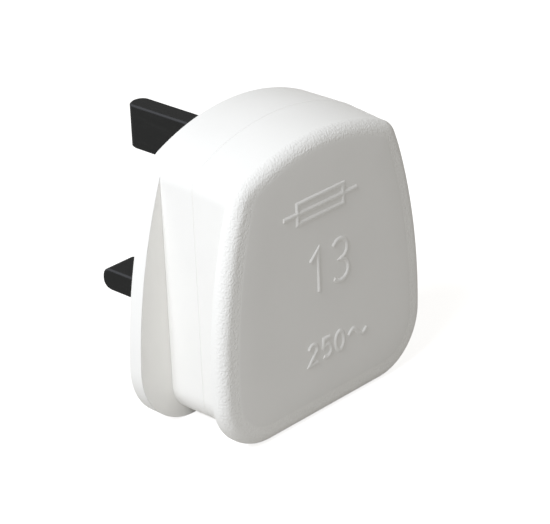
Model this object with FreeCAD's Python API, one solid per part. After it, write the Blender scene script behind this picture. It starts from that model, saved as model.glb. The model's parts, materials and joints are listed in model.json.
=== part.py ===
import FreeCAD, Part
import math
import os

# Fused three pin plug, in millimetres. +Y points out along the pins, +Z up towards the earth pin,
# and +X to the right as seen from the cover. The origin lies on the pin face, midway between
# the two lower pins.

V = FreeCAD.Vector
UP = V(0, 0, 1)
OUT = V(0, 1, 0)
ACROSS = V(1, 0, 0)

# Lengths that differ by less than this count as equal
SAME = 1e-6

# Pins
line_pin_spacing = 22.22
line_pin_width = 6.35
line_pin_thick = 3.96
line_pin_length = 17.7
earth_pin_rise = 22.23
earth_pin_height = 7.92
earth_pin_thick = 3.96
earth_pin_length = 22.73
pin_edge_bevel = 0.3
tip_round = 1.85
sleeve_length = 9.5
sleeve_wall = 0.5

# Outer form
foot_drop = 18.4
crown_radius = 38.7
crown_headroom = 8.2
crown_fall = 0.6
top_corner_radius = 4.3
flange_half_width = 25.8
flange_widest = 8.1
flange_corner_radius = 11.3
flange_thick = 2.94
face_edge_bevel = 0.3
rim_half_width = 24.1
rim_widest = 13.0
rim_corner_radius = 10.6
rim_thick = 2.65
rim_round = 2.0
waist_lift = 0.9
waist_corner_radius = 6.0
parting_depth = 10.1
rim_depth = 17.2
panel_inset = 3.4
panel_slope = 2.4
panel_foot_round = 7.0
panel_top_round = 2.2
panel_rise = 0.35

# Shell
wall = 2.0
floor_thick = 2.6
lip_thick = 0.85
lip_height = 1.5
lip_clearance = 0.1
parting_chamfer = 0.18
inlet_radius = 4.5
rib_thick = 1.2

# Fits
slot_clearance = 0.04
screw_clearance = 0.05
seat_clearance = 0.15
cover_clearance = 0.2

# Terminal blocks, which stand on the inside of the base's floor
block_depth = 7.5
clip_block_depth = 5.4
earth_block_width = 9.0
earth_block_below = 4.8
earth_block_headroom = 1.8
neutral_block_width = 7.8
neutral_block_below = 3.0
neutral_block_above = 8.0
live_block_width = 6.0
live_block_height = 6.0
live_terminal_width = 7.4
conductor_radius = 1.4
conductor_depth = 2.4
fence_thick = 1.0

# Terminal screws
terminal_screw_radius = 1.75
terminal_head_radius = 2.8
terminal_head_thick = 1.7
earth_screw_drop = 3.3
earth_rib_margin = 3.57
neutral_screw_drop = 3.4
live_screw_drop = 3.0
slot_width = 0.9
slot_depth = 0.9

# Fuse and its clips
fuse_x = 13.0
fuse_radius = 3.15
fuse_length = 25.4
fuse_foot = -7.5
fuse_cap_length = 5.5
fuse_cap_wall = 0.2
fuse_cap_end = 0.45
fuse_tube_bore = 1.9
fuse_wire_radius = 0.2
clip_thick = 0.6
clip_width = 4.0
clip_margin = 1.0
clip_mouth = 100.0
rivet_radius = 0.75
rivet_head_radius = 1.2
rivet_head_thick = 0.5
rivet_offset = 2.8
rivet_margin = 2.0

# Cord grip
grip_z = -10.0
grip_screw_spacing = 15.2
grip_bar_width = 5.2
grip_bar_thick = 1.8
grip_cord_radius = 3.5
grip_top = 9.5
grip_screw_radius = 1.45
grip_screw_depth = 5.0
grip_head_radius = 2.5
grip_head_thick = 1.7
saddle_thick = 3.0
saddle_top = 8.5

# Cover screw, retainer and insert
cover_screw_z = 9.0
cover_screw_radius = 1.95
cover_head_radius = 3.5
cover_head_thick = 2.0
cover_head_sink = 0.3
cover_screw_end = 14.0
screw_boss_radius = 4.4
base_boss_depth = 8.0
retainer_radius = 3.2
retainer_thick = 0.6
insert_radius = 2.9
insert_length = 7.0
boss_gap = 0.2

# Worked out from the sizes above
foot_z = -foot_drop
line_x = line_pin_spacing / 2
body_depth = rim_depth + rim_thick
cover_floor_y = -(body_depth - wall)
floor_y = -floor_thick
block_y = floor_y - block_depth
clip_block_y = floor_y - clip_block_depth
conductor_y = floor_y - conductor_depth
fence_height = conductor_depth - conductor_radius
fuse_y = clip_block_y - clip_thick - screw_clearance - fuse_radius
fuse_top = fuse_foot + fuse_length
clip_inner = fuse_radius + screw_clearance
clip_outer = clip_inner + clip_thick
lower_arms = fuse_foot + clip_margin
upper_arms = fuse_top - clip_margin - clip_width
rivet_x = fuse_x - rivet_offset
upper_rivet_z = upper_arms - rivet_margin
live_terminal_low = upper_rivet_z - rivet_margin
live_screw_z = fuse_top + screw_clearance + terminal_head_radius + seat_clearance
live_terminal_high = live_screw_z + live_screw_drop
top_z = live_terminal_high + crown_headroom
crown_z = top_z - crown_radius
earth_block_high = top_z - wall - earth_block_headroom
waist_half_width = fuse_x + clip_outer + 2 * seat_clearance + wall


def box(x_low, x_high, y_low, y_high, z_low, z_high):
    """A block between two corners."""
    return Part.makeBox(x_high - x_low, y_high - y_low, z_high - z_low, V(x_low, y_low, z_low))


def rod(radius, x, z, y_from, y_to):
    """A cylinder along Y."""
    low = min(y_from, y_to)
    return Part.makeCylinder(radius, abs(y_to - y_from), V(x, low, z), OUT)


def join(first, *others):
    """One solid from several that touch, with the seams between flush faces removed."""
    return first.fuse(list(others)).removeSplitter()


def y_edges(solid, z_low, z_high):
    """The edges that run along Y between two heights."""
    found = []
    for edge in solid.Edges:
        start = edge.Vertexes[0].Point
        end = edge.Vertexes[-1].Point
        along = abs((end - start).y) > 0.9 * edge.Length
        if along and z_low < start.z < z_high:
            found.append(edge)
    return found


def edges_at_depth(solid, y):
    """The edges that lie in one plane across Y."""
    return [edge for edge in solid.Edges if all(abs(v.Y - y) < SAME for v in edge.Vertexes)
            and abs(edge.BoundBox.YLength) < SAME]


def between(start, end, centre, radius):
    """The short arc of a circle in the XZ plane from one of its points to another; points are (x, z)."""
    out_x = (start[0] + end[0]) / 2 - centre[0]
    out_z = (start[1] + end[1]) / 2 - centre[1]
    length = math.hypot(out_x, out_z)
    middle = (centre[0] + radius * out_x / length, centre[1] + radius * out_z / length)
    points = [V(x, 0, z) for x, z in (start, middle, end)]
    return Part.Arc(*points).toShape()


def outward(centre, towards, radius):
    """The point of a circle that lies in the direction of another centre."""
    dx = towards[0] - centre[0]
    dz = towards[1] - centre[1]
    length = math.hypot(dx, dz)
    return (centre[0] + radius * dx / length, centre[1] + radius * dz / length)


def circle_meeting(centre_a, radius_a, centre_b, radius_b):
    """The upper right point where two circles in the XZ plane cross; points are (x, z)."""
    dx = centre_b[0] - centre_a[0]
    dz = centre_b[1] - centre_a[1]
    gap = math.hypot(dx, dz)
    along = (radius_a ** 2 - radius_b ** 2 + gap ** 2) / (2 * gap)
    height = math.sqrt(radius_a ** 2 - along ** 2)
    foot = (centre_a[0] + along * dx / gap, centre_a[1] + along * dz / gap)
    first = (foot[0] - height * dz / gap, foot[1] + height * dx / gap)
    second = (foot[0] + height * dz / gap, foot[1] - height * dx / gap)
    return max(first, second, key=lambda point: point[0] + point[1])


def top_corner(drop):
    """The centre of the waist's top corner arc, which runs smoothly into the crown's arc."""
    x = waist_half_width - top_corner_radius
    return (x, crown_z - drop + math.sqrt((crown_radius - top_corner_radius) ** 2 - x ** 2))


def mirrored(half):
    """A closed wire from its right half, whose edges run from the foot to the top."""
    left = [edge.mirror(V(0, 0, 0), ACROSS) for edge in half]
    return Part.Wire(Part.__sortEdges__(half + left))


def line(start, end):
    """A straight edge between two (x, z) points."""
    return Part.LineSegment(V(start[0], 0, start[1]), V(end[0], 0, end[1])).toShape()


def waist_outline(drop=0.0):
    """The grip between flange and rim: plumb sides that drop from the top corners."""
    centre = (0, crown_z - drop)
    foot = foot_z + waist_lift
    low = (waist_half_width - waist_corner_radius, foot + waist_corner_radius)
    high = top_corner(drop)
    crown_end = outward(centre, high, crown_radius)
    return mirrored([
        line((0, foot), (low[0], foot)),
        between((low[0], foot), (waist_half_width, low[1]), low, waist_corner_radius),
        line((waist_half_width, low[1]), (waist_half_width, high[1])),
        between((waist_half_width, high[1]), crown_end, high, top_corner_radius),
        between(crown_end, (0, top_z - drop), centre, crown_radius),
    ])


def side_radius(half_width, widest_z, drop):
    """The radius of a bowed side that touches the waist's top corner arc."""
    corner = top_corner(drop)
    dx = corner[0] - half_width
    dz = corner[1] - widest_z
    return (top_corner_radius ** 2 - dx ** 2 - dz ** 2) / (2 * (dx + top_corner_radius))


def bowed_outline(half_width, widest_z, foot_round, top_round, inset=0.0, drop=0.0):
    """A flat foot, bowed sides and an arched top, joined by smooth corners; inset draws it inwards."""
    centre = (0, crown_z - drop)
    bow = side_radius(half_width, widest_z, drop)
    side = (half_width - bow, widest_z)
    bow -= inset
    crown = crown_radius - inset
    foot = foot_z + inset
    low_z = foot + foot_round
    low = (side[0] + math.sqrt((bow - foot_round) ** 2 - (low_z - widest_z) ** 2), low_z)
    high = circle_meeting(side, bow - top_round, centre, crown - top_round)
    low_end = outward(side, low, bow)
    high_start = outward(side, high, bow)
    crown_end = outward(centre, high, crown)
    return mirrored([
        line((0, foot), (low[0], foot)),
        between((low[0], foot), low_end, low, foot_round),
        between(low_end, high_start, side, bow),
        between(high_start, crown_end, high, top_round),
        between(crown_end, (0, top_z - drop - inset), centre, crown),
    ])


def prism(wire, y_from, y_to):
    """A wire drawn at y = 0, pushed along Y from one depth to another."""
    face = Part.Face(wire)
    face.translate(V(0, y_from, 0))
    return face.extrude(V(0, y_to - y_from, 0))


def shrunk(wire, distance):
    """A wire drawn inwards by a distance."""
    return wire.makeOffset2D(-distance)


FLANGE = bowed_outline(
    flange_half_width, foot_z + flange_widest, flange_corner_radius, top_corner_radius
)
WAIST = waist_outline()


def terminal_blocks():
    """Where each block stands on the floor: x low, x high, z low, z high, and its rear face."""
    half_earth = earth_block_width / 2
    half_neutral = neutral_block_width / 2
    half_live = live_block_width / 2
    half_live_z = live_block_height / 2
    half_terminal = live_terminal_width / 2
    return {
        "earth": (-half_earth, half_earth,
                  earth_pin_rise - earth_block_below, earth_block_high, block_y),
        "neutral": (-line_x - half_neutral, -line_x + half_neutral,
                    -neutral_block_below, neutral_block_above, block_y),
        "live": (line_x - half_live, line_x + half_live, -half_live_z, half_live_z, clip_block_y),
        "live_terminal": (fuse_x - half_terminal, fuse_x + half_terminal,
                          live_terminal_low, live_terminal_high, clip_block_y),
    }


BLOCKS = terminal_blocks()


def block(name, grow=0.0, height=None):
    """A terminal block's solid, or one that is wider all round or lower."""
    x_low, x_high, z_low, z_high, rear = BLOCKS[name]
    y_low = rear if height is None else floor_y - height
    return box(x_low - grow, x_high + grow, y_low, floor_y, z_low - grow, z_high + grow)


def pin_bar(width, height, x, z, y_from, y_to):
    """A rectangular bar along Y with bevelled long edges."""
    bar = box(x - width / 2, x + width / 2, y_from, y_to, z - height / 2, z + height / 2)
    return bar.makeChamfer(pin_edge_bevel, y_edges(bar, z - height, z + height))


def blade(width, height, x, z, y_from, length):
    """A pin's blade, bull-nosed across its thin way at the tip."""
    bar = box(x - width / 2, x + width / 2, y_from, length, z - height / 2, z + height / 2)
    tip_edges = edges_at_depth(bar, length)
    if width < height:
        nose = [edge for edge in tip_edges if edge.BoundBox.ZLength > SAME]
    else:
        nose = [edge for edge in tip_edges if edge.BoundBox.XLength > SAME]
    bar = bar.makeFillet(tip_round, nose)
    return bar.makeChamfer(pin_edge_bevel, y_edges(bar, z - height, z + height))


def screw_places():
    """The terminal screws: x, z and the rear face of the block that each one clamps."""
    return {
        "earth": (0.0, earth_block_high - earth_screw_drop, block_y),
        "neutral": (-line_x, neutral_block_above - neutral_screw_drop, block_y),
        "live_terminal": (fuse_x, live_screw_z, clip_block_y),
    }


SCREWS = screw_places()


def drilled(solid, name, conductor_along):
    """A terminal block with its conductor hole and the screw hole that crosses it."""
    x, z, rear = SCREWS[name]
    x_low, x_high, z_low, z_high, _ = BLOCKS[name]
    if conductor_along is ACROSS:
        start = V(x_low, conductor_y, z)
        length = x_high - x_low
    else:
        start = V(x, conductor_y, z_low)
        length = z_high - z_low
    solid = solid.cut(Part.makeCylinder(conductor_radius, length, start, conductor_along))
    return solid.cut(rod(terminal_screw_radius + screw_clearance, x, z, rear, conductor_y))


def earth_pin():
    """The earth pin and its terminal block, in one piece."""
    solid = blade(earth_pin_thick, earth_pin_height, 0, earth_pin_rise, floor_y, earth_pin_length)
    return drilled(join(solid, block("earth")), "earth", ACROSS)


def line_pin_body(x):
    """A lower pin's blade, stepped in where its sleeve lies."""
    core = pin_bar(
        line_pin_width - 2 * sleeve_wall,
        line_pin_thick - 2 * sleeve_wall,
        x, 0, floor_y, sleeve_length,
    )
    tip = blade(line_pin_width, line_pin_thick, x, 0, sleeve_length, line_pin_length)
    return join(core, tip)


def neutral_pin():
    """The neutral pin and its terminal block, in one piece."""
    return drilled(join(line_pin_body(-line_x), block("neutral")), "neutral", UP)


def live_pin():
    """The live pin and the block that carries the lower fuse clip."""
    solid = join(line_pin_body(line_x), block("live"))
    return solid.cut(rod(rivet_radius, rivet_x, 0, clip_block_y, clip_block_y + clip_thick * 3))


def live_terminal():
    """The live conductor's block, which also carries the upper fuse clip."""
    solid = drilled(block("live_terminal"), "live_terminal", ACROSS)
    return solid.cut(
        rod(rivet_radius, rivet_x, upper_rivet_z, clip_block_y, clip_block_y + clip_thick * 3)
    )


def pin_sleeve(x):
    """An insulating sleeve, flush with the pin's tip."""
    outside = pin_bar(line_pin_width, line_pin_thick, x, 0, floor_y, sleeve_length)
    inside = pin_bar(
        line_pin_width - 2 * sleeve_wall,
        line_pin_thick - 2 * sleeve_wall,
        x, 0, floor_y, sleeve_length,
    )
    return outside.cut(inside)


def slotted_screw(x, z, seat_y, radius, length, head_radius, head_thick):
    """A cheese-head screw that enters towards +Y, its head's underside at seat_y."""
    shank = rod(radius, x, z, seat_y, seat_y + length)
    head = rod(head_radius, x, z, seat_y, seat_y - head_thick)
    top = seat_y - head_thick
    cut = box(x - head_radius, x + head_radius, top, top + slot_depth,
              z - slot_width / 2, z + slot_width / 2)
    return join(shank, head).cut(cut)


def terminal_screw(name):
    """The screw that clamps a conductor in its block."""
    x, z, rear = SCREWS[name]
    return slotted_screw(
        x, z, rear, terminal_screw_radius, conductor_y - rear,
        terminal_head_radius, terminal_head_thick,
    )


def ring_sector(inner, outer, z_low, z_high, mouth_degrees):
    """A slit ring round the fuse's axis, open towards the cover over the mouth's angle."""
    solid = Part.makeCylinder(outer, z_high - z_low, V(fuse_x, fuse_y, z_low), UP)
    solid = solid.cut(Part.makeCylinder(inner, z_high - z_low, V(fuse_x, fuse_y, z_low), UP))
    half = math.radians(mouth_degrees / 2)
    reach = 2 * outer
    tip = V(fuse_x, fuse_y, z_low)
    left = V(fuse_x - reach * math.sin(half), fuse_y - reach * math.cos(half), z_low)
    right = V(fuse_x + reach * math.sin(half), fuse_y - reach * math.cos(half), z_low)
    mouth = Part.Face(Part.makePolygon([tip, left, right, tip])).extrude(UP * (z_high - z_low))
    return solid.cut(mouth)


def fuse_clip(grip_low, plate_low, plate_high, hole_z):
    """A spring clip: a flat foot on the block, and two curved arms that grip the fuse's cap."""
    grip_high = grip_low + clip_width
    arms = ring_sector(clip_inner, clip_outer, grip_low, grip_high, clip_mouth)
    foot = box(fuse_x - clip_outer, fuse_x + clip_outer, clip_block_y - clip_thick, clip_block_y,
               plate_low, plate_high)
    foot = foot.cut(rod(rivet_radius, rivet_x, hole_z, clip_block_y, clip_block_y - clip_thick))
    cap_room = Part.makeCylinder(clip_inner, plate_high - plate_low, V(fuse_x, fuse_y, plate_low), UP)
    return join(arms, foot).cut(cap_room)


def clip_rivet(z):
    """A flat-headed rivet through a clip's foot."""
    face = clip_block_y - clip_thick
    shank = rod(rivet_radius, rivet_x, z, face, clip_block_y + clip_thick * 3)
    head = rod(rivet_head_radius, rivet_x, z, face, face - rivet_head_thick)
    return join(shank, head)


def fuse_cap(end_z, inward):
    """A pressed end cap; inward is +1 for the lower cap and -1 for the upper."""
    low = min(end_z, end_z + inward * fuse_cap_length)
    cup = Part.makeCylinder(fuse_radius, fuse_cap_length, V(fuse_x, fuse_y, low), UP)
    rim = [edge for edge in cup.Edges
           if edge.BoundBox.ZLength < SAME and abs(edge.Vertexes[0].Z - end_z) < SAME]
    cup = cup.makeChamfer(fuse_cap_end / 2, rim)
    hollow_start = end_z + inward * fuse_cap_end
    hollow_low = min(hollow_start, hollow_start + inward * fuse_cap_length)
    hollow = Part.makeCylinder(
        fuse_radius - fuse_cap_wall, fuse_cap_length, V(fuse_x, fuse_y, hollow_low), UP
    )
    return cup.cut(hollow)


def fuse_inside(radius, bore):
    """A tube that fills the fuse from cap to cap."""
    low = fuse_foot + fuse_cap_end
    length = fuse_length - 2 * fuse_cap_end
    solid = Part.makeCylinder(radius, length, V(fuse_x, fuse_y, low), UP)
    if bore:
        solid = solid.cut(Part.makeCylinder(bore, length, V(fuse_x, fuse_y, low), UP))
    return solid


def cord_grip_bar():
    """A bar with round ends and an arch over the cord."""
    half_span = grip_screw_spacing / 2
    half_width = grip_bar_width / 2
    low_y = -grip_top - grip_bar_thick
    bar = box(-half_span, half_span, low_y, -grip_top, grip_z - half_width, grip_z + half_width)
    ends = [rod(half_width, side * half_span, grip_z, low_y, -grip_top) for side in (-1, 1)]
    start = V(0, -grip_top, grip_z - half_width)
    arch = Part.makeCylinder(grip_cord_radius + grip_bar_thick, grip_bar_width, start, UP)
    tunnel = Part.makeCylinder(grip_cord_radius, grip_bar_width, start, UP)
    keep = box(-half_span, half_span, -body_depth, -grip_top, grip_z - half_width, grip_z + half_width)
    bar = join(bar, *ends, arch.common(keep)).cut(tunnel)
    for side in (-1, 1):
        bar = bar.cut(rod(grip_screw_radius + screw_clearance, side * half_span, grip_z,
                          low_y, -grip_top))
    return bar


def cord_grip_screw(side):
    """A screw through the bar into the base's post."""
    return slotted_screw(
        side * grip_screw_spacing / 2, grip_z, -grip_top - grip_bar_thick, grip_screw_radius,
        grip_bar_thick + grip_screw_depth - seat_clearance, grip_head_radius, grip_head_thick,
    )


def cover_screw():
    """The central screw, its head sunk in the pin face, its tip in the cover's insert."""
    head_y = -cover_head_sink
    head = rod(cover_head_radius, 0, cover_screw_z, head_y, head_y - cover_head_thick)
    shank = rod(cover_screw_radius, 0, cover_screw_z, head_y - cover_head_thick, -cover_screw_end)
    cut = box(-cover_head_radius, cover_head_radius, head_y - slot_depth, head_y,
              cover_screw_z - slot_width / 2, cover_screw_z + slot_width / 2)
    return join(head, shank).cut(cut)


def screw_retainer():
    """The washer at the end of the base's boss that stops the screw from falling out."""
    rear = -base_boss_depth
    washer = rod(retainer_radius, 0, cover_screw_z, rear, rear + retainer_thick)
    return washer.cut(rod(cover_screw_radius + screw_clearance, 0, cover_screw_z,
                          rear, rear + retainer_thick))


def cover_insert():
    """The brass insert that the cover screw enters, moulded into the cover's boss."""
    front = -base_boss_depth - boss_gap - seat_clearance
    rear = front - insert_length
    body = rod(insert_radius, 0, cover_screw_z, front, rear)
    return body.cut(rod(cover_screw_radius + screw_clearance, 0, cover_screw_z, front, rear))


def cord_inlet():
    """The round hole in the foot wall, half in the base and half in the cover."""
    return Part.makeCylinder(
        inlet_radius, wall + 2 * waist_lift, V(0, -parting_depth, foot_z), UP
    )


def fuse_cradle(y_from, y_to, clearance):
    """A rib across the fuse, hollowed to its round."""
    z_low = (live_block_height / 2 + live_terminal_low - rib_thick) / 2
    rib = box(fuse_x - fuse_radius, fuse_x + fuse_radius, min(y_from, y_to), max(y_from, y_to),
              z_low, z_low + rib_thick)
    bed = Part.makeCylinder(fuse_radius - fuse_cap_wall + clearance, rib_thick,
                            V(fuse_x, fuse_y, z_low), UP)
    return rib.cut(bed)


def pin_slots():
    """The three slots in the pin face."""
    grow = 2 * slot_clearance
    slots = [pin_bar(line_pin_width + grow, line_pin_thick + grow, side * line_x, 0, floor_y, 0)
             for side in (-1, 1)]
    slots.append(pin_bar(earth_pin_thick + grow, earth_pin_height + grow, 0, earth_pin_rise, floor_y, 0))
    return slots


def base_outside():
    """The flange and the front half of the waist."""
    flange = prism(FLANGE, 0, -flange_thick)
    flange = flange.makeChamfer(face_edge_bevel, edges_at_depth(flange, 0))
    waist = prism(WAIST, -flange_thick, -parting_depth)
    waist = waist.makeChamfer(parting_chamfer, edges_at_depth(waist, -parting_depth))
    return join(flange, waist)


def grip_saddle():
    """Two posts for the cord grip's screws and the saddle between them."""
    half_span = grip_screw_spacing / 2
    posts = [rod(grip_bar_width / 2, side * half_span, grip_z, floor_y, -grip_top)
             for side in (-1, 1)]
    web = box(-half_span, half_span, -saddle_top, floor_y,
              grip_z - saddle_thick / 2, grip_z + saddle_thick / 2)
    tray = Part.makeCylinder(grip_cord_radius, saddle_thick,
                             V(0, -parting_depth, grip_z - saddle_thick / 2), UP)
    return posts, web.cut(tray)


def base():
    """The front moulding, open towards the cover, with everything that locates the metal parts."""
    shell = base_outside().cut(prism(shrunk(WAIST, wall), floor_y, -parting_depth))
    posts, saddle = grip_saddle()
    boss = rod(screw_boss_radius, 0, cover_screw_z, floor_y, -base_boss_depth)
    rib_x = (screw_boss_radius + line_x - live_block_width / 2) / 2
    rib_foot = grip_z + grip_bar_width / 2
    ribs = [box(side * rib_x - rib_thick / 2, side * rib_x + rib_thick / 2,
                -base_boss_depth, floor_y, rib_foot + rib_thick, cover_screw_z + screw_boss_radius)
            for side in (-1, 1)]
    fences = [block(name, seat_clearance + fence_thick, fence_height) for name in BLOCKS]
    cradle = fuse_cradle(floor_y, fuse_y + fuse_radius / 2, screw_clearance)
    solid = join(shell, *posts, saddle, boss, *ribs, *fences, cradle)
    for name in BLOCKS:
        solid = solid.cut(block(name, seat_clearance, fence_height))
    rebate = prism(shrunk(WAIST, wall - lip_thick - lip_clearance),
                   -parting_depth + lip_height + lip_clearance, -parting_depth)
    rebate = rebate.cut(prism(shrunk(WAIST, wall), -parting_depth + lip_height + lip_clearance,
                              -parting_depth))
    head_room = rod(cover_head_radius + cover_clearance, 0, cover_screw_z,
                    0, -cover_head_sink - cover_head_thick)
    shank_room = rod(cover_screw_radius + seat_clearance, 0, cover_screw_z, 0, -base_boss_depth)
    washer_room = rod(retainer_radius + screw_clearance, 0, cover_screw_z,
                      -base_boss_depth, -base_boss_depth + retainer_thick)
    screw_holes = [rod(grip_screw_radius + screw_clearance, side * grip_screw_spacing / 2, grip_z,
                       -grip_top, -grip_top + grip_screw_depth) for side in (-1, 1)]
    return solid.cut([rebate, cord_inlet(), head_room, shank_room, washer_room,
                      *screw_holes, *pin_slots()])


def cover_outside():
    """The rear half of the waist, the rounded rim and the crowned panel."""
    widest_z = foot_z + rim_widest
    front = WAIST.copy()
    rear = waist_outline(crown_fall)
    front.translate(V(0, -parting_depth, 0))
    rear.translate(V(0, -rim_depth, 0))
    waist = Part.makeLoft([front, rear], True, True)
    outline = bowed_outline(
        rim_half_width, widest_z, rim_corner_radius, top_corner_radius, drop=crown_fall
    )
    rim = prism(outline, -rim_depth, -body_depth)
    rim = rim.makeFillet(rim_round, edges_at_depth(rim, -body_depth))
    low = bowed_outline(
        rim_half_width, widest_z, panel_foot_round, panel_top_round, panel_inset
    )
    high = bowed_outline(
        rim_half_width,
        widest_z,
        panel_foot_round - panel_slope / 2,
        panel_top_round,
        panel_inset + panel_slope,
    )
    low.translate(V(0, -body_depth, 0))
    high.translate(V(0, -body_depth - panel_rise, 0))
    panel = Part.makeLoft([low, high], True)
    return join(waist, rim, panel)


def hold_down_ribs():
    """Ribs that reach from the cover's floor to just short of the terminal blocks."""
    screw_x, screw_z, _ = SCREWS["earth"]
    below_head = screw_z - terminal_head_radius - earth_rib_margin
    places = [(screw_x, below_head), (-line_x, 0.0)]
    ribs = []
    for x, z in places:
        ribs.append(box(x - 3 * rib_thick, x + 3 * rib_thick, cover_floor_y,
                        block_y - cover_clearance, z - rib_thick / 2, z + rib_thick / 2))
        ribs.append(box(x - rib_thick / 2, x + rib_thick / 2, cover_floor_y,
                        block_y - cover_clearance - rib_thick, z - 2 * rib_thick, z + rib_thick / 2))
    return ribs


def cover():
    """The rear moulding, with its locating lip and the boss for the insert."""
    shell = cover_outside().cut(prism(shrunk(WAIST, wall), -parting_depth, cover_floor_y))
    lip = prism(shrunk(WAIST, wall - lip_thick), -parting_depth + lip_height, -parting_depth)
    lip = lip.cut(prism(shrunk(WAIST, wall), -parting_depth + lip_height, -parting_depth))
    boss = rod(screw_boss_radius, 0, cover_screw_z, -base_boss_depth - boss_gap, cover_floor_y)
    gussets = []
    reach = screw_boss_radius + 2 * rib_thick
    gusset_top = cover_floor_y + insert_length
    gussets.append(box(-reach, reach, cover_floor_y, gusset_top,
                       cover_screw_z - rib_thick / 2, cover_screw_z + rib_thick / 2))
    gussets.append(box(-rib_thick / 2, rib_thick / 2, cover_floor_y, gusset_top,
                       cover_screw_z - reach, cover_screw_z + reach))
    hold = fuse_cradle(cover_floor_y, fuse_y - fuse_radius / 2, cover_clearance)
    solid = join(shell, lip, boss, *gussets, *hold_down_ribs(), hold)
    front = -base_boss_depth - boss_gap
    insert_room = rod(insert_radius + screw_clearance, 0, cover_screw_z,
                      front, front - seat_clearance - insert_length)
    return solid.cut([insert_room, cord_inlet()])


def clip_places():
    """Each clip: where its arms start, its foot's two ends, and its rivet's height."""
    return {
        "lower": (lower_arms, lower_arms, live_block_height / 2, 0.0),
        "upper": (upper_arms, live_terminal_low, upper_arms + clip_width, upper_rivet_z),
    }


def make_parts():
    """Every piece of the plug, by name."""
    parts = {
        "base": base(),
        "cover": cover(),
        "earth_pin": earth_pin(),
        "neutral_pin": neutral_pin(),
        "live_pin": live_pin(),
        "neutral_pin_sleeve": pin_sleeve(-line_x),
        "live_pin_sleeve": pin_sleeve(line_x),
        "live_terminal": live_terminal(),
        "fuse_cap_lower": fuse_cap(fuse_foot, 1),
        "fuse_cap_upper": fuse_cap(fuse_top, -1),
        "fuse_tube": fuse_inside(fuse_radius - fuse_cap_wall, fuse_tube_bore),
        "fuse_wire": fuse_inside(fuse_wire_radius, 0),
        "cord_grip_bar": cord_grip_bar(),
        "cord_grip_screw_left": cord_grip_screw(-1),
        "cord_grip_screw_right": cord_grip_screw(1),
        "cover_screw": cover_screw(),
        "screw_retainer": screw_retainer(),
        "cover_insert": cover_insert(),
    }
    for name, place in clip_places().items():
        parts[name + "_fuse_clip"] = fuse_clip(*place)
        parts[name + "_clip_rivet"] = clip_rivet(place[3])
    for block_name in SCREWS:
        screw_name = block_name.replace("_terminal", "") + "_terminal_screw"
        parts[screw_name] = terminal_screw(block_name)
    return parts


os.makedirs("parts", exist_ok=True)
for name, shape in make_parts().items():
    if shape.ShapeType == "Compound" and len(shape.Solids) == 1:
        shape = shape.Solids[0]
    shape.exportStep("parts/" + name + ".step")
    print(name, len(shape.Solids), shape.isValid(), round(shape.Volume, 1))
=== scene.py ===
import bmesh
import bpy
import json
import math
import numpy as np
from mathutils import Matrix, Vector


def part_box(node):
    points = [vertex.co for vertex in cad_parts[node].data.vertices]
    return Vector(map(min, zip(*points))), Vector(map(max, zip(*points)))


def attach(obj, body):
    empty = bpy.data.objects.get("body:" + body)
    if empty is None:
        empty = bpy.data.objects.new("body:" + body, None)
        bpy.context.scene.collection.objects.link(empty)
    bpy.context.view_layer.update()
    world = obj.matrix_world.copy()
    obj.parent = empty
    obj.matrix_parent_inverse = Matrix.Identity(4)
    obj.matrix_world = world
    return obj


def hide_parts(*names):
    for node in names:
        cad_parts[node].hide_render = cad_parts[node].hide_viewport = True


# The looks of a fused three pin plug, in metres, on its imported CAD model. +Y points out along the
# pins, +Z up towards the earth pin, and +X to the right as seen from the cover.

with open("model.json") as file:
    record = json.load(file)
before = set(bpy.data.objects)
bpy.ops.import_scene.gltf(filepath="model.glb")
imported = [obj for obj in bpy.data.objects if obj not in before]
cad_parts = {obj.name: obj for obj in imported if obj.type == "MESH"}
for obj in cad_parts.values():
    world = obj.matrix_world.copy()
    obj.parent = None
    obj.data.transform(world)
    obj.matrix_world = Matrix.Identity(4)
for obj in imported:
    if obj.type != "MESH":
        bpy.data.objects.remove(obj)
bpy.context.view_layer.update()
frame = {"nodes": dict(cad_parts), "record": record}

MM = 0.001

# Sizes read from the frame
base_low, base_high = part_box("base")
cover_low, cover_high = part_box("cover")
foot_z = base_low.z
top_z = base_high.z
rim_half_width = cover_high.x
panel_y = cover_low.y

# The rim's outline and the panel on it
crown_radius = 38.7 * MM
top_corner_radius = 4.3 * MM
waist_half_width = 19.1 * MM
rim_widest_z = foot_z + 13.0 * MM
rim_corner_radius = 10.6 * MM
rim_round = 2.0 * MM
crown_fall = 0.6 * MM
panel_inset = 3.4 * MM
panel_rise = 0.35 * MM
panel_foot_round = 5.8 * MM
panel_top_round = 2.2 * MM
ledge_y = panel_y + panel_rise
round_y = ledge_y + rim_round
side_reach = 2.1 * MM
crown_reach = 3.0 * MM
ledge_slope = 0.06
crown_foot_z = foot_z + 38.0 * MM
crown_sag = 0.55 * MM
sag_foot_z = crown_foot_z + 2.0 * MM
parting_y = panel_y + 10.1 * MM

# The raised marks, and the panel's step and roll
mark_height = 0.215 * MM
mark_width = 0.84 * MM
edge_step = 0.02 * MM
step_width = 0.4 * MM
roll_width = 4.4 * MM
roll_power = 2.2

# The skin over the cover's rear, the cover's copy drawn in under it, and how finely both are made
tuck = 0.3 * MM
draw_in = 0.97
edge_margin = 0.01 * MM
panel_fade = 0.2 * MM
edge_rings = 28
step_ring = 0.05 * MM
roll_ring = 0.15 * MM
inner_rings = 60
foot_steps, foot_corner_steps, side_steps, top_corner_steps, crown_steps = 30, 40, 60, 24, 46
bend_steps, wave_steps = 18, 32
weld_distance = 0.0005 * MM
body_sharp, skin_sharp, mark_sharp = 20, 40, 27

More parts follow.
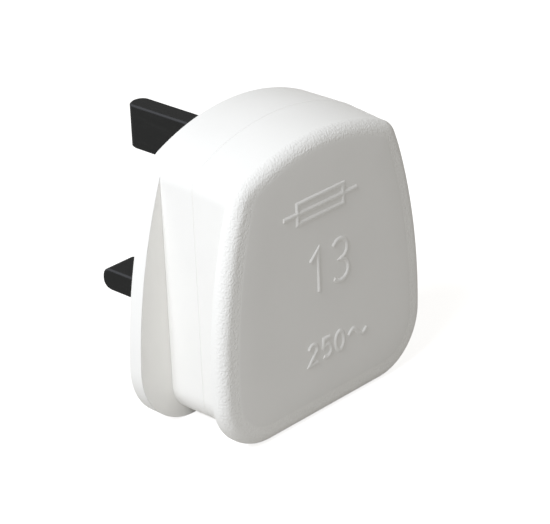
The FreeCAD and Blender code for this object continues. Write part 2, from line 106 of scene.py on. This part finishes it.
# The photograph's camera, fitted to the edges of the pins and the body: turn, tilt and roll in degrees
camera_angles = (-45.955, 25.481, -2.297)
camera_aim = Vector((0, -8.0, 6.6)) * MM
camera_right = 0.592 * MM
camera_down = 1.343 * MM
camera_distance = 392.51 * MM
camera_sensor = 36
camera_lens = 157.44

# Colours and light
PLASTIC_WHITE = (0.945, 0.9335, 0.9)
# The factor by which the smooth panel's colour is darkened as painted shade
PANEL_PAINTED_SHADE = 0.94
PIN_BLACK = (0.0235, 0.0235, 0.0226)
SLEEVE_BLACK = (0.0235, 0.0235, 0.023)
# A lighter grey painted on the pins' long edges as a painted highlight
HIGHLIGHT_GREY = (0.065, 0.065, 0.068)
LOW_SHINE = 0.015
SKY_LIGHT = 0.355
SKY_TINT = (1.0, 0.977, 0.937)
WHITE = (1.0, 1.0, 1.0)
FLOOR_GREY = (0.56, 0.547, 0.525)
FLOOR_GLOW = 0.8
KEY_POWER = 3.13
KEY_COLOUR = (0.889, 0.93, 1.0)
KEY_SIZE = 0.3
KEY_DISTANCE = 0.6
TOWARDS_KEY = Vector((-0.700, -0.054, 0.712)).normalized()


class Field:
    """A shader socket that takes part in sums: each operator adds one Math node."""

    def __init__(self, finish, socket):
        self.finish = finish
        self.socket = socket

    def maths(self, operation, *values):
        inputs = dict(enumerate(values))
        return self.finish.node("ShaderNodeMath", {"operation": operation}, inputs)["Value"]

    def __add__(self, other):
        return self.maths("ADD", self, other)

    def __sub__(self, other):
        return self.maths("SUBTRACT", self, other)

    def __mul__(self, other):
        return self.maths("MULTIPLY", self, other)

    def __rsub__(self, other):
        return self.maths("SUBTRACT", other, self)

    __radd__ = __add__
    __rmul__ = __mul__

    def ramp(self, low, high, out_low=0.0, out_high=1.0):
        """Rises smoothly from out_low to out_high while the field goes from low to high."""
        settings = {"interpolation_type": "SMOOTHSTEP"}
        inputs = {"Value": self, "From Min": low, "From Max": high,
                  "To Min": out_low, "To Max": out_high}
        return self.finish.node("ShaderNodeMapRange", settings, inputs)["Result"]


class Outputs:
    """The outputs of one node, by name."""

    def __init__(self, finish, node):
        self.finish = finish
        self.node = node

    def __getitem__(self, name):
        return Field(self.finish, self.node.outputs[name])


class Finish:
    """A material under construction, with a Principled shader and the object's own coordinates."""

    def __init__(self, name, colour, **constants):
        self.material = bpy.data.materials.new(name)
        self.material.use_nodes = True
        self.tree = self.material.node_tree
        self.shader = self.tree.nodes["Principled BSDF"]
        self.set(**{"Base Color": (*colour, 1.0)})
        self.set(**constants)
        self.colour = colour
        self.place = self.node("ShaderNodeTexCoord")["Object"]

    def node(self, kind, settings=None, inputs=None):
        made = self.tree.nodes.new(kind)
        for key, value in (settings or {}).items():
            setattr(made, key, value)
        for key, value in (inputs or {}).items():
            self.feed(made.inputs[key], value)
        return Outputs(self, made)

    def feed(self, socket, value):
        if isinstance(value, Field):
            self.tree.links.new(value.socket, socket)
        else:
            socket.default_value = value

    def set(self, **sockets):
        for name, value in sockets.items():
            self.feed(self.shader.inputs[name], value)

    def noise(self, scale, detail=2.0, roughness=0.5, place=None):
        inputs = {"Vector": place or self.place, "Scale": scale, "Detail": detail,
                  "Roughness": roughness}
        return self.node("ShaderNodeTexNoise", None, inputs)["Fac"]

    def stretched(self, x, y, z):
        """The object's coordinates, scaled by a factor along each axis."""
        return self.node("ShaderNodeMapping", None, {"Vector": self.place, "Scale": (x, y, z)})["Vector"]

    def mix(self, factor, first, second):
        settings = {"data_type": "RGBA"}
        made = self.node("ShaderNodeMix", settings)
        self.feed(made.node.inputs[0], factor)
        for socket, colour in zip(made.node.inputs[6:8], (first, second)):
            self.feed(socket, colour if isinstance(colour, Field) else (*colour, 1.0))
        return Field(self, made.node.outputs[2])

    def tint(self, factor, shade):
        """Moves the base colour towards a lighter or darker shade of itself, where factor is 1."""
        other = tuple(min(1.0, c * shade) for c in self.colour)
        self.set(**{"Base Color": self.mix(factor, self.colour, other)})

    def bump(self, height, distance, strength=1.0, normal=None):
        inputs = {"Height": height, "Distance": distance, "Strength": strength}
        if normal:
            inputs["Normal"] = normal
        return self.node("ShaderNodeBump", None, inputs)["Normal"]

    def soft_edges(self, radius):
        """Normals that round every sharp edge over a radius."""
        return self.node("ShaderNodeBevel", {"samples": 6}, {"Radius": radius})["Normal"]


# The plastic's finish: how fine its noises are, how high they stand, and where the grain fades out
GRAIN_START = round_y + 0.4 * MM
GRAIN_FULL = round_y - 0.9 * MM
GRAIN_SCALE = 2800
GRAIN_HEIGHT = 0.135 * MM
SKIN_SCALE = 900
SKIN_HEIGHT = 0.004 * MM
CLOUD_SCALE = 90
PLASTIC_ROUGHNESS = 0.36
# How much of the plastic's darkening is painted shade on the smooth panel; the rest is random cloudy tone
PAINTED_SHADE_SHARE = 0.75
PLASTIC_EDGE = 0.22 * MM
PIN_EDGE = 0.35 * MM


def plastic_roughness(skin):
    """The plastic's roughness, a little higher where the skin noise is."""
    return PLASTIC_ROUGHNESS + 0.06 * skin


def white_plastic(name, soften):
    """Moulded white plastic: smooth walls, fine eroded grain round the rim, painted shade that darkens the
    smooth panel's colour, and faint random clouds of tone.
    """
    finish = Finish(name, PLASTIC_WHITE, **{"IOR": 1.49, "Specular IOR Level": LOW_SHINE})
    depth = finish.node("ShaderNodeSeparateXYZ", None, {"Vector": finish.place})["Y"]
    smooth_panel = finish.node("ShaderNodeAttribute", {"attribute_name": "smooth_panel"})["Fac"]
    band = depth.ramp(GRAIN_START, GRAIN_FULL) * (1 - smooth_panel)
    cloud = finish.noise(CLOUD_SCALE, 3)
    grain = finish.noise(GRAIN_SCALE, 1, 0.5)
    skin = finish.noise(SKIN_SCALE, 3)
    # Painted shade: the smooth panel's colour is darkened, mixed with a random cloudy tone elsewhere
    finish.tint(PAINTED_SHADE_SHARE * smooth_panel + (1 - PAINTED_SHADE_SHARE) * cloud.ramp(0.35, 0.7), PANEL_PAINTED_SHADE)
    finish.set(Roughness=plastic_roughness(skin) + band * 0.2)
    edges = finish.soft_edges(PLASTIC_EDGE) if soften else None
    eroded = finish.bump((grain - 0.5) * band, GRAIN_HEIGHT, 1.0, edges)
    finish.set(Normal=finish.bump(skin, SKIN_HEIGHT, 0.5, eroded))
    return finish.material


def white_relief():
    """The same plastic on the raised marks, whose own shape carries the light, with the panel's painted
    shade in their colour.
    """
    finish = Finish("white_mark", PLASTIC_WHITE, **{"IOR": 1.49, "Specular IOR Level": LOW_SHINE})
    skin = finish.noise(SKIN_SCALE, 3)
    # Painted shade: the marks are darkened like the panel they stand on, with a little random tone
    finish.tint(PAINTED_SHADE_SHARE + (1 - PAINTED_SHADE_SHARE) * skin.ramp(0.35, 0.7), PANEL_PAINTED_SHADE)
    finish.set(Roughness=plastic_roughness(skin))
    return finish.material


def black_coating(name, colour, roughness):
    """Satin black on the pins, with faint marks along their length and long edges painted lighter.

    The lighter edges are a painted highlight where the softened normal turns between X and Z: 4 * x ** 2 *
    z ** 2.
    """
    finish = Finish(name, colour, **{"IOR": 1.45, "Specular IOR Level": LOW_SHINE})
    streaks = finish.noise(1400, 3, 0.6, finish.stretched(1, 0.12, 1))
    mottle = finish.noise(500, 3)
    edges = finish.soft_edges(PIN_EDGE)
    turn = finish.node("ShaderNodeSeparateXYZ", None, {"Vector": edges})
    # Painted highlight: the long edges between the X and Z faces get a lighter grey colour
    painted_highlight = (4 * turn["X"] * turn["X"] * turn["Z"] * turn["Z"]).ramp(0.35, 0.95)
    body = finish.mix(streaks.ramp(0.45, 0.75), colour, tuple(1.15 * c for c in colour))
    finish.set(**{"Base Color": finish.mix(painted_highlight, body, HIGHLIGHT_GREY)})
    finish.set(Roughness=roughness + 0.12 * mottle)
    finish.set(Normal=finish.bump(streaks, 0.006 * MM, 0.6, edges))
    return finish.material


def metal(name, colour, roughness, scale=1600):
    """A turned or pressed metal, with fine tool marks and a little dullness in patches."""
    finish = Finish(name, colour, Metallic=1.0)
    marks = finish.noise(scale, 3, 0.6, finish.stretched(1, 1, 0.15))
    dull = finish.noise(260, 3)
    finish.tint(dull.ramp(0.4, 0.7), 0.86)
    finish.set(Roughness=roughness + 0.15 * marks)
    finish.set(Normal=finish.bump(marks, 0.01 * MM, 0.5))
    return finish.material


def matt(name, colour, roughness, scale, depth):
    """A dull, grainy material such as fired clay or pressed fibre."""
    finish = Finish(name, colour)
    grain = finish.noise(scale, 4, 0.65)
    finish.tint(grain.ramp(0.35, 0.7), 0.82)
    finish.set(Roughness=roughness + 0.1 * grain)
    finish.set(Normal=finish.bump(grain, depth))
    return finish.material


FINISHES = {
    "white_shell": white_plastic("white_shell", True),
    "white_rear": white_plastic("white_rear", False),
    "white_mark": white_relief(),
    "black_pin": black_coating("black_pin", PIN_BLACK, 0.42),
    "black_sleeve": black_coating("black_sleeve", SLEEVE_BLACK, 0.46),
    "brass": metal("brass", (0.78, 0.6, 0.3), 0.25),
    "spring_bronze": metal("spring_bronze", (0.72, 0.6, 0.45), 0.3, 900),
    "screw_steel": metal("screw_steel", (0.66, 0.66, 0.65), 0.28),
    "fuse_cap": metal("fuse_cap", (0.78, 0.77, 0.74), 0.16, 700),
    "fuse_ceramic": matt("fuse_ceramic", (0.83, 0.81, 0.76), 0.6, 1200, 0.02 * MM),
    "grip_fibre": matt("grip_fibre", (0.42, 0.14, 0.1), 0.55, 1500, 0.03 * MM),
}
SLOT_OF = {part["node"]: part["material_slot"] for part in frame["record"]["subparts"]}


def dress(piece, slot):
    """Gives a piece one finish."""
    piece.data.materials.clear()
    piece.data.materials.append(FINISHES[slot])


def add_piece(name, mesh, slot, *nodes, finish=None):
    """Puts a mesh in the scene, on the plug's one body, in place of its nodes.

    It takes the finish of its slot, unless another one is named.
    """
    piece = bpy.data.objects.new(name, mesh)
    bpy.context.scene.collection.objects.link(piece)
    dress(piece, finish or slot)
    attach(piece, "root")
    if nodes:
        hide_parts(*nodes)


def merged_copy(node):
    """A node's mesh with its loose triangles joined, and without the normals that came with them."""
    mesh = frame["nodes"][node].data.copy()
    mesh.attributes.remove(mesh.attributes["custom_normal"])
    work = bmesh.new()
    work.from_mesh(mesh)
    bmesh.ops.remove_doubles(work, verts=work.verts, dist=weld_distance)
    work.to_mesh(mesh)
    work.free()
    return mesh


def smoothed(mesh, sharp=body_sharp):
    """Smooth shading on the curves, and sharp edges where faces turn by more than an angle."""
    mesh.shade_smooth()
    mesh.set_sharp_from_angle(angle=math.radians(sharp))
    return mesh


def ring_mesh(name, points, ends=True):
    """A mesh from closed rings of points: quads between neighbours, and one face over each end ring."""
    rings, count, _ = points.shape
    index = np.arange(rings * count).reshape(rings, count)
    beside = np.roll(index, -1, 1)
    quads = np.stack([index[:-1], index[1:], beside[1:], beside[:-1]], -1)
    faces = [tuple(face) for face in quads.reshape(-1, 4).tolist()]
    if ends:
        faces += [tuple(index[0].tolist()), tuple(index[-1, ::-1].tolist())]
    mesh = bpy.data.meshes.new(name)
    mesh.from_pydata(points.reshape(-1, 3).tolist(), [], faces)
    work = bmesh.new()
    work.from_mesh(mesh)
    bmesh.ops.recalc_face_normals(work, faces=work.faces)
    work.to_mesh(mesh)
    work.free()
    return mesh


crown_z = top_z - crown_radius
top_corner_x = waist_half_width - top_corner_radius
top_corner_z = crown_z + math.sqrt((crown_radius - top_corner_radius) ** 2 - top_corner_x ** 2)


def bow_radius(fall):
    """The radius of the rim's bowed side, which touches the waist's top corner arc."""
    dx = top_corner_x - rim_half_width
    dz = top_corner_z - fall - rim_widest_z
    return (top_corner_radius ** 2 - dx ** 2 - dz ** 2) / (2 * (dx + top_corner_radius))


def arc(centre, radius, start, end, count):
    """Points of a circle from one angle to another: centre plus radius times cosine and sine."""
    angle = np.linspace(start, end, count, endpoint=False)
    return np.stack([centre[0] + radius * np.cos(angle), centre[1] + radius * np.sin(angle)], -1)


def rim_ring(inset):
    """The rim's outline drawn inwards by inset, as a closed ring of (x, z) points.

    Half of it runs from the foot's middle along the foot, round the foot corner's arc, up the bowed
    side, round the top corner and along the crown; the other half is its mirror image. The rim's
    crown lies lower than the panel's by a fall that fades across the ledge.
    """
    fall = crown_fall * min(max((panel_inset - inset) / (panel_inset - rim_round), 0), 1)
    crown_centre = crown_z - fall
    bow = bow_radius(fall)
    side = (rim_half_width - bow, rim_widest_z)
    bow -= inset
    crown = crown_radius - inset
    foot_round = max(rim_corner_radius - inset, panel_foot_round)
    top_round = max(top_corner_radius - inset, panel_top_round)
    low_z = foot_z + inset + foot_round
    low = (side[0] + math.sqrt((bow - foot_round) ** 2 - (low_z - side[1]) ** 2), low_z)
    reach = bow - top_round
    drop = crown - top_round
    gap = math.hypot(side[0], side[1] - crown_centre)
    along = (reach ** 2 - drop ** 2 + gap ** 2) / (2 * gap)
    height = math.sqrt(reach ** 2 - along ** 2)
    unit = (-side[0] / gap, (crown_centre - side[1]) / gap)
    high = (side[0] + along * unit[0] - height * unit[1], side[1] + along * unit[1] + height * unit[0])
    low_angle = math.atan2(low[1] - side[1], low[0] - side[0])
    high_angle = math.atan2(high[1] - side[1], high[0] - side[0])
    crown_angle = math.atan2(high[1] - crown_centre, high[0])
    foot_x = np.linspace(0, low[0], foot_steps, endpoint=False)
    half = np.concatenate([
        np.stack([foot_x, np.full_like(foot_x, foot_z + inset)], -1),
        arc(low, foot_round, -math.pi / 2, low_angle, foot_corner_steps),
        arc(side, bow, low_angle, high_angle, side_steps),
        arc(high, top_round, high_angle, crown_angle, top_corner_steps),
        arc((0, crown_centre), crown, crown_angle, math.pi / 2, crown_steps),
        [[0, crown_centre + crown]],
    ])
    mirrored = half[-2:0:-1] * np.array([-1, 1])
    return np.concatenate([half, mirrored])


# Faint hollows where the plastic shrank over ribs and bosses: x, z, spread and depth
SINKS = [
    (-2.5 * MM, 26.0 * MM, 2.6 * MM, 0.016 * MM),
    (-4.5 * MM, 13.5 * MM, 2.2 * MM, 0.012 * MM),
    (-11.5 * MM, -1.5 * MM, 2.6 * MM, 0.014 * MM),
    (9.5 * MM, 17.0 * MM, 2.4 * MM, 0.010 * MM),
    (9.0 * MM, 1.5 * MM, 2.4 * MM, 0.010 * MM),
]


def eased(value, low, high):
    """Rises from 0 to 1 while the value goes from low to high, as 3 t ** 2 - 2 t ** 3."""
    t = np.clip((value - low) / (high - low), 0, 1)
    return t * t * (3 - 2 * t)


def panel_height(x, z, inset):
    """How far the panel stands behind the ledge at a point.

    Zero up to the panel's edge, then a small step, then rising as 1 - (1 - u) ** power over the
    roll's width, less the sum of the sinks, each depth * exp(-distance ** 2 / (2 * spread ** 2)).
    """
    u = np.clip((inset - panel_inset) / roll_width, 0, 1)
    height = (panel_rise - mark_height - edge_step) * (1 - (1 - u) ** roll_power)
    height = height + edge_step * eased(inset, panel_inset, panel_inset + step_width)
    for sink_x, sink_z, spread, depth in SINKS:
        distance = (x - sink_x) ** 2 + (z - sink_z) ** 2
        height = height - depth * u * np.exp(-distance / (2 * spread ** 2))
    return height


def edge_fall(z, inset):
    """How far the rim's rounded edge and ledge lie in front of the panel's edge at a point.

    A quarter ellipse, rim_round * (1 - sqrt(1 - (1 - inset / reach) ** 2)), whose reach grows smoothly
    from the sides to the crown, joined by the root of the sum of squares to the ledge's slight slope.
    """
    reach = side_reach + (crown_reach - side_reach) * eased(z, crown_foot_z, top_z)
    round_fall = rim_round * (1 - np.sqrt(1 - np.clip(1 - inset / reach, 0, 1) ** 2))
    slope_fall = ledge_slope * np.clip(panel_inset - inset, 0, None)
    return np.minimum(np.hypot(round_fall, slope_fall), rim_round)


def sagged(z, y):
    """The heights of the crown's points, lowered more and more from the parting line to the rim."""
    depth = np.clip((parting_y - y) / (parting_y - round_y), 0, 1)
    return z - crown_sag * depth * eased(z, sag_foot_z, top_z)


def rear_skin():
    """The rim's rounded edge, the ledge and the crowned panel: one surface over the cover's rear.

    Its rings are the rim's outline drawn inwards. The first ones follow the edge's quarter ellipse
    from the rim's side to the ledge, the next ones cross the panel's roll, and the last ones scale
    the innermost outline towards the panel's centre, where one small face closes them. A first ring
    lies inside the plastic, and one large face closes the skin off there.
    """
    turn = np.linspace(0, math.pi / 2, edge_rings, endpoint=False)
    insets = np.concatenate([
        panel_inset * (1 - np.cos(turn)),
        np.arange(panel_inset, panel_inset + step_width, step_ring),
        np.arange(panel_inset + step_width, panel_inset + roll_width, roll_ring),
    ])
    rings = np.stack([rim_ring(inset) for inset in insets])
    centre = np.array([0.0, (foot_z + top_z) / 2])
    shrink = np.linspace(1, 0.02, inner_rings)[1:, None, None]
    inner = centre + (rings[-1] - centre) * shrink
    flat = np.concatenate([rings, inner])
    depth_in = np.concatenate([
        np.broadcast_to(insets[:, None], rings.shape[:2]),
        insets[-1] + (1 - shrink[..., 0]) * rim_half_width / 2 * np.ones(rings.shape[1]),
    ])
    rise = panel_height(flat[..., 0], flat[..., 1], depth_in) - edge_fall(flat[..., 1], depth_in)
    lowered = sagged(flat[..., 1], round_y)
    height = lowered + (flat[..., 1] - lowered) * eased(depth_in, 0, panel_inset)
    rear = np.stack([flat[..., 0], ledge_y - rise, height], -1)
    hidden = rim_ring(tuck)
    under = np.stack([hidden[:, 0], np.full(len(hidden), round_y), sagged(hidden[:, 1], round_y)], -1)
    points = np.concatenate([under[None], rear])
    mesh = smoothed(ring_mesh("rear_skin", points), skin_sharp)
    smooth = np.clip((depth_in - panel_inset + panel_fade) / (2 * panel_fade), 0, 1)
    values = np.concatenate([np.zeros(points.shape[1]), smooth.ravel()])
    attribute = mesh.attributes.new("smooth_panel", "FLOAT", "POINT")
    attribute.data.foreach_set("value", values.astype(np.float32))
    return mesh


def drawn_in(mesh):
    """The cover's copy with its crown sagged and its rear drawn in, just under the skin that covers it."""
    points = np.empty(len(mesh.vertices) * 3, np.float32)
    mesh.vertices.foreach_get("co", points)
    points = points.reshape(-1, 3)
    behind = points[:, 1] < round_y - edge_margin
    centre = np.array([0, points[:, 1].max(), (foot_z + top_z) / 2])
    moved = centre + (points - centre) * np.array([draw_in, 1, draw_in])
    moved[:, 1] += 1.5 * tuck
    points[behind] = moved[behind]
    points[:, 2] = sagged(points[:, 2], points[:, 1])
    mesh.vertices.foreach_set("co", points.ravel())
    mesh.update()
    return mesh


# Places across a raised mark, in widths from its middle
MARK_PROFILE = np.linspace(-0.55, 0.55, 7)


def ridge(name, path, closed=False):
    """A raised line on the panel: a low arch, mark_width across, carried along a path of (x, z) points.

    The arch's height is 1 - (2 t) ** 2 at t widths from the middle, and its feet are sunk a little
    into the panel.
    """
    path = np.asarray(path, float)
    ahead = np.roll(path, -1, 0) - path
    back = path - np.roll(path, 1, 0)
    if not closed:
        ahead[-1] = back[-1]
        back[0] = ahead[0]
    ahead /= np.linalg.norm(ahead, axis=1, keepdims=True)
    back /= np.linalg.norm(back, axis=1, keepdims=True)
    along = ahead + back
    along /= np.linalg.norm(along, axis=1, keepdims=True)
    across = np.stack([-along[:, 1], along[:, 0]], -1)
    mitre = 1 / np.maximum((across * np.stack([-ahead[:, 1], ahead[:, 0]], -1)).sum(1), 0.5)
    offset = MARK_PROFILE * mark_width
    level = (1 - (2 * MARK_PROFILE) ** 2) * mark_height
    flat = path[:, None] + across[:, None] * (offset[None, :, None] * mitre[:, None, None])
    ground = ledge_y - (panel_rise - mark_height)
    points = np.stack([flat[..., 0], ground - np.broadcast_to(level, flat.shape[:2]), flat[..., 1]], -1)
    if closed:
        points = np.concatenate([points, points[:1]])
    return smoothed(ring_mesh(name, points, not closed), mark_sharp)


def camera_and_light():
    """The camera at the photograph's place, and a soft key light from the upper left."""
    turn, tilt, roll = (math.radians(angle) for angle in camera_angles)
    backward = Vector((math.sin(turn) * math.cos(tilt), -math.cos(turn) * math.cos(tilt), math.sin(tilt)))
    level = Vector((math.cos(turn), math.sin(turn), 0))
    upward = backward.cross(level)
    right = math.cos(roll) * level + math.sin(roll) * upward
    up = math.cos(roll) * upward - math.sin(roll) * level
    place = camera_aim + camera_right * right - camera_down * up + camera_distance * backward
    camera = bpy.data.cameras.new("camera")
    camera.sensor_width = camera_sensor
    camera.lens = camera_lens
    camera.clip_start = 0.01
    seat = bpy.data.objects.new("camera", camera)
    axes = Matrix((right, up, backward)).transposed().to_4x4()
    seat.matrix_world = Matrix.Translation(place) @ axes
    bpy.context.scene.collection.objects.link(seat)
    bpy.context.scene.camera = seat

    key = bpy.data.lights.new("key", "AREA")
    key.energy = KEY_POWER
    key.color = KEY_COLOUR
    key.size = KEY_SIZE
    lamp = bpy.data.objects.new("key", key)
    lamp.location = camera_aim + TOWARDS_KEY * KEY_DISTANCE
    lamp.rotation_euler = TOWARDS_KEY.to_track_quat("Z", "Y").to_euler()
    bpy.context.scene.collection.objects.link(lamp)


def background_rays(tree):
    """A socket that is 1 for rays from the camera, off a mirror or through glass, and 0 for others."""
    path = tree.nodes.new("ShaderNodeLightPath")
    seen = path.outputs["Is Camera Ray"]
    for ray in ("Is Glossy Ray", "Is Transmission Ray"):
        either = tree.nodes.new("ShaderNodeMath")
        either.operation = "MAXIMUM"
        tree.links.new(seen, either.inputs[0])
        tree.links.new(path.outputs[ray], either.inputs[1])
        seen = either.outputs[0]
    return seen


def sky():
    """Even light on the object, and plain white behind it and in what it mirrors or lets through."""
    world = bpy.data.worlds.new("sky")
    world.use_nodes = True
    bpy.context.scene.world = world
    tree = world.node_tree
    seen = background_rays(tree)
    strength = tree.nodes.new("ShaderNodeMapRange")
    strength.inputs["To Min"].default_value = SKY_LIGHT
    strength.inputs["To Max"].default_value = 1.0
    tree.links.new(seen, strength.inputs["Value"])
    tint = tree.nodes.new("ShaderNodeMix")
    tint.data_type = "RGBA"
    tint.inputs[6].default_value = (*SKY_TINT, 1)
    tint.inputs[7].default_value = (*WHITE, 1)
    tree.links.new(seen, tint.inputs[0])
    background = tree.nodes["Background"]
    tree.links.new(tint.outputs[2], background.inputs["Color"])
    tree.links.new(strength.outputs["Result"], background.inputs["Strength"])


def floor():
    """A wide plain floor under the plug's foot: white where it is seen, pale grey as a reflector."""
    reach = 3.0
    around = ((-1, -1), (1, -1), (1, 1), (-1, 1))
    corners = [(x * reach, y * reach, foot_z) for x, y in around]
    mesh = bpy.data.meshes.new("floor")
    mesh.from_pydata(corners, [], [(0, 1, 2, 3)])
    plane = bpy.data.objects.new("floor", mesh)
    bpy.context.scene.collection.objects.link(plane)
    finish = Finish("floor", FLOOR_GREY, Roughness=0.9, **{"Specular IOR Level": 0.0})
    seen = Field(finish, background_rays(finish.tree))
    tone = finish.noise(6, 2).ramp(0.2, 0.8, 0.985, 1.0)
    lit = finish.node("ShaderNodeCombineColor", None, {"Red": tone, "Green": tone, "Blue": tone})["Color"]
    finish.set(**{"Emission Strength": FLOOR_GLOW})
    finish.set(**{"Emission Color": finish.mix(seen, (0, 0, 0), lit)})
    plane.data.materials.append(finish.material)


def carried_nodes():
    """Every CAD node keeps its mesh and gets the finish that the record names for it."""
    for name, node in frame["nodes"].items():
        dress(node, SLOT_OF[name])


def visible_pieces():
    """Smooth copies of what shows from outside, and the skin over the cover's rear."""
    add_piece("base_moulding", smoothed(merged_copy("base")), "white_shell", "base")
    cover = smoothed(drawn_in(merged_copy("cover")))
    add_piece("cover_moulding", cover, "white_shell", "cover", finish="white_rear")
    add_piece("cover_rear", rear_skin(), "white_shell", finish="white_rear")
    for node in ("earth_pin", "neutral_pin", "live_pin", "neutral_pin_sleeve", "live_pin_sleeve",
                 "cover_screw"):
        add_piece(node + "_smooth", smoothed(merged_copy(node)), SLOT_OF[node], node)


def bend(x, z, radius, start, end):
    """Points of an arc between two angles in degrees."""
    return arc((x, z), radius, math.radians(start), math.radians(end), bend_steps)


def numerals():
    """Strokes of plain numerals and a wave, one unit high, from the lower left corner."""
    wave = np.linspace(0, 1, wave_steps + 1)
    return {
        "1": [(0.08, 0.76), (0.34, 1.0), (0.34, 0.0)],
        "2": [*bend(0.3, 0.72, 0.28, 165, -35), (0.02, 0.0), (0.6, 0.0)],
        "3": [*bend(0.3, 0.76, 0.24, 150, -90), *bend(0.3, 0.26, 0.26, 90, -155)],
        "5": [(0.55, 1.0), (0.12, 1.0), (0.08, 0.58), *bend(0.3, 0.32, 0.32, 130, -145)],
        "0": bend(0.3, 0.5, 0.5, 90, -270) * (0.6, 1) + (0.12, 0),
        "wave": np.stack([1.3 * wave, 0.5 + 0.24 * np.sin(2 * math.pi * wave)], -1),
    }


def raised_marks():
    """A plain fuse sign, which is a long box with a line through it, and plain rating numbers."""
    left, right, low, high = (value * MM for value in (-6.2, 4.6, 17.5, 20.9))
    middle = (low + high) / 2
    reach = 3.2 * MM
    box_path = [(left, low), (right, low), (right, high), (left, high)]
    wire_path = [(left - reach, middle), (right + reach, middle)]
    marks = {"fuse_sign_box": box_path, "fuse_sign_wire": wire_path}
    shapes = numerals()
    # Each row: its signs, the x and z of its start, its height, and the step from sign to sign
    rows = [
        (("1", "3"), -4.2 * MM, 4.2 * MM, 7.4 * MM, 5.4 * MM),
        (("2", "5", "0", "wave"), -4.6 * MM, -8.2 * MM, 3.4 * MM, 3.2 * MM),
    ]
    for row, (signs, start_x, start_z, height, step) in enumerate(rows):
        for place, sign in enumerate(signs):
            corner = (start_x + place * step, start_z)
            marks[f"rating_{row}_{place}"] = np.array(corner) + height * np.asarray(shapes[sign])
    # The box and the nought are closed loops
    for name, path in marks.items():
        closed = name in ("fuse_sign_box", "rating_1_2")
        add_piece(name, ridge(name, path, closed), "white_shell", finish="white_mark")


carried_nodes()
visible_pieces()
raised_marks()
camera_and_light()
sky()
floor()

bpy.context.scene.view_settings.view_transform = "Standard"
